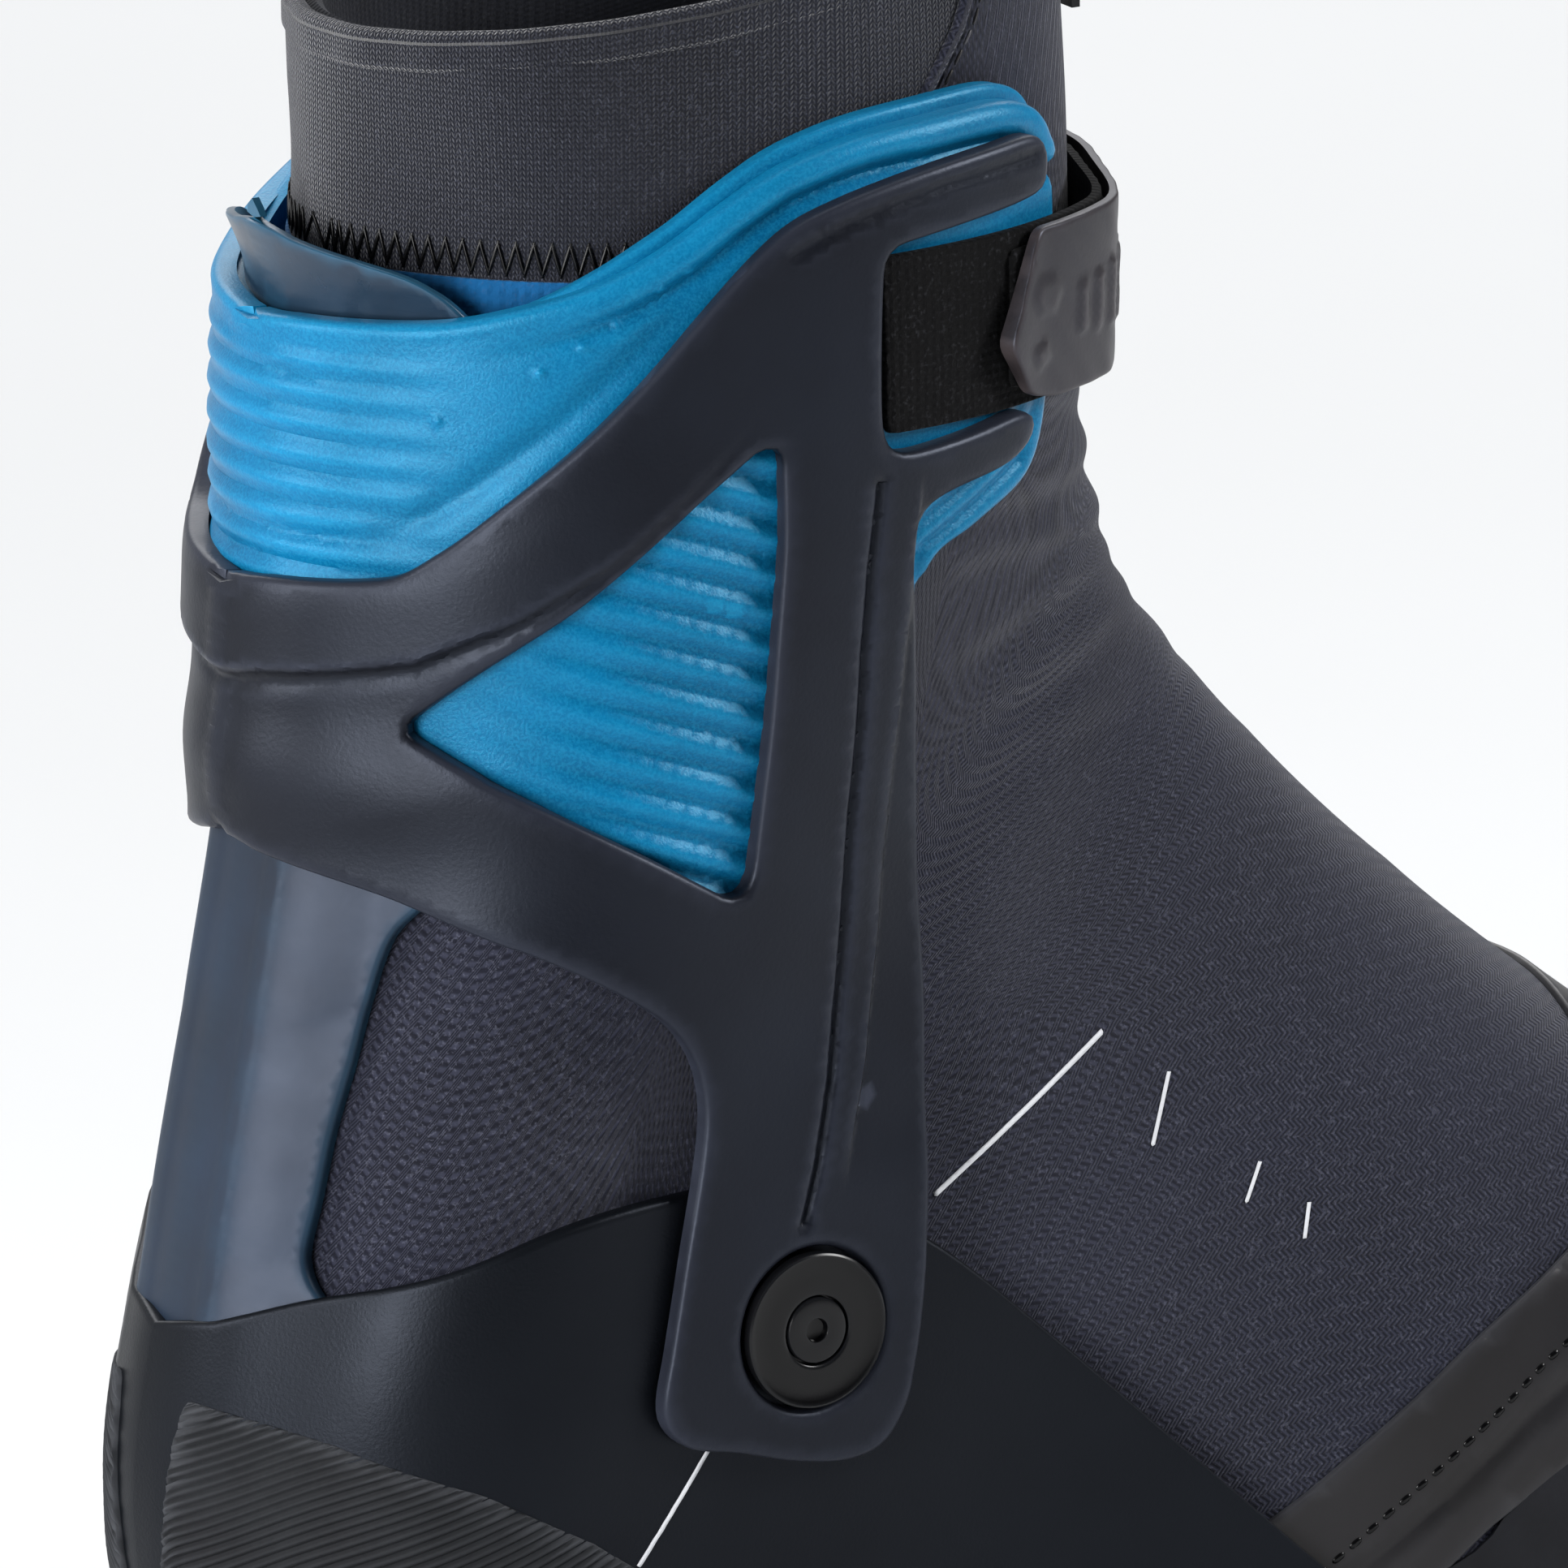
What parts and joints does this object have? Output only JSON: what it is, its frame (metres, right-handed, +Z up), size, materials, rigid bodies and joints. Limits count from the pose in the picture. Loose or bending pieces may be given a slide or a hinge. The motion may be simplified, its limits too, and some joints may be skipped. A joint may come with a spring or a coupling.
{
  "type": "cross country ski boot",
  "caption": "Cross-country skate ski boot: stiff sole chassis and heel cup, hinged cuff with blue foam pad, strap, zipped softshell gaiter and knit collar.",
  "frame": {"origin": "middle of the boot's footprint on the ground, under the middle of its length and width", "axes": "+X toward the toe, +Y toward the inner (medial) side of this right boot, +Z up"},
  "size_m": [0.2954, 0.0992, 0.2571],
  "materials": {
    "cuff_plastic": "fine matt moulded texture",
    "chassis_plastic": "fine grained",
    "spine_plastic": "satin",
    "blue_foam": "satin moulded foam skin",
    "dark_fabric": "ribbed stretch softshell",
    "knit_fabric": "plain knit",
    "liner_fabric": "brushed lining on foam",
    "satin_film": "satin film",
    "hard_black": "gloss",
    "sole_rubber": "matt",
    "strap_fabric": "smooth coated webbing",
    "steel": "brushed",
    "carbon": "carbon composite"
  },
  "bodies": {
    "lower_boot": {"chassis_shell": "chassis_plastic", "heel_panel_lateral": "sole_rubber", "heel_panel_medial": "sole_rubber", "outsole_heel_pad": "sole_rubber", "outsole_forefoot_pad": "sole_rubber", "binding_block": "hard_black", "toe_bar": "steel", "shank_plate": "carbon", "achilles_spine": "spine_plastic", "softshell_foot": "dark_fabric", "softshell_flex": "dark_fabric", "liner_foot": "liner_fabric", "liner_flex": "liner_fabric", "tongue": "liner_fabric", "footbed": "blue_foam", "heel_counter": "hard_black", "toe_stiffener": "hard_black", "eyelet_strip_lateral": "strap_fabric", "eyelet_strip_medial": "strap_fabric", "lace": "strap_fabric", "vamp_band": "satin_film", "toe_cap": "chassis_plastic", "pivot_nut_lateral": "steel", "pivot_bush_lateral": "steel", "pivot_screw_lateral": "hard_black", "pivot_disc_lateral": "hard_black", "pivot_nut_medial": "steel", "pivot_bush_medial": "steel", "pivot_screw_medial": "hard_black", "pivot_disc_medial": "hard_black"},
    "cuff": {"cuff_frame": "cuff_plastic", "cuff_pad": "blue_foam", "rear_spoiler": "spine_plastic", "softshell_shaft": "dark_fabric", "knit_collar": "knit_fabric", "liner_shaft": "liner_fabric", "loop_band": "strap_fabric", "strap_medial": "strap_fabric", "strap_rivet_upper": "steel", "strap_rivet_lower": "steel", "zip_track": "hard_black", "zip_stop": "hard_black"},
    "strap": {"strap_flap": "strap_fabric", "hook_patch": "strap_fabric"},
    "slider": {"zip_slider": "hard_black"},
    "puller": {"zip_puller": "hard_black"}
  },
  "joints": [
    {"name": "cuff_flex", "type": "hinge", "parent": "lower_boot", "child": "cuff", "pos_m": [-0.07251, 0, 0.076], "axis": [0, 1, 0], "range_deg": [-4, 12], "deforming": ["achilles_spine", "softshell_flex", "liner_flex", "tongue"]},
    {"name": "strap_peel", "type": "hinge", "parent": "cuff", "child": "strap", "pos_m": [-0.00901, 0.005, 0.2035], "axis": [-0.0909, 0, 0.9959], "range_deg": [0, 100]},
    {"name": "zip_slide", "type": "slide", "parent": "cuff", "child": "slider", "axis": [0.038, 0, -0.9993], "range_m": [0, 0.0145]},
    {"name": "puller_swing", "type": "hinge", "parent": "slider", "child": "puller", "pos_m": [-0.00951, 0, 0.247], "axis": [0, -1, 0], "range_deg": [0, 150]}
  ]
}
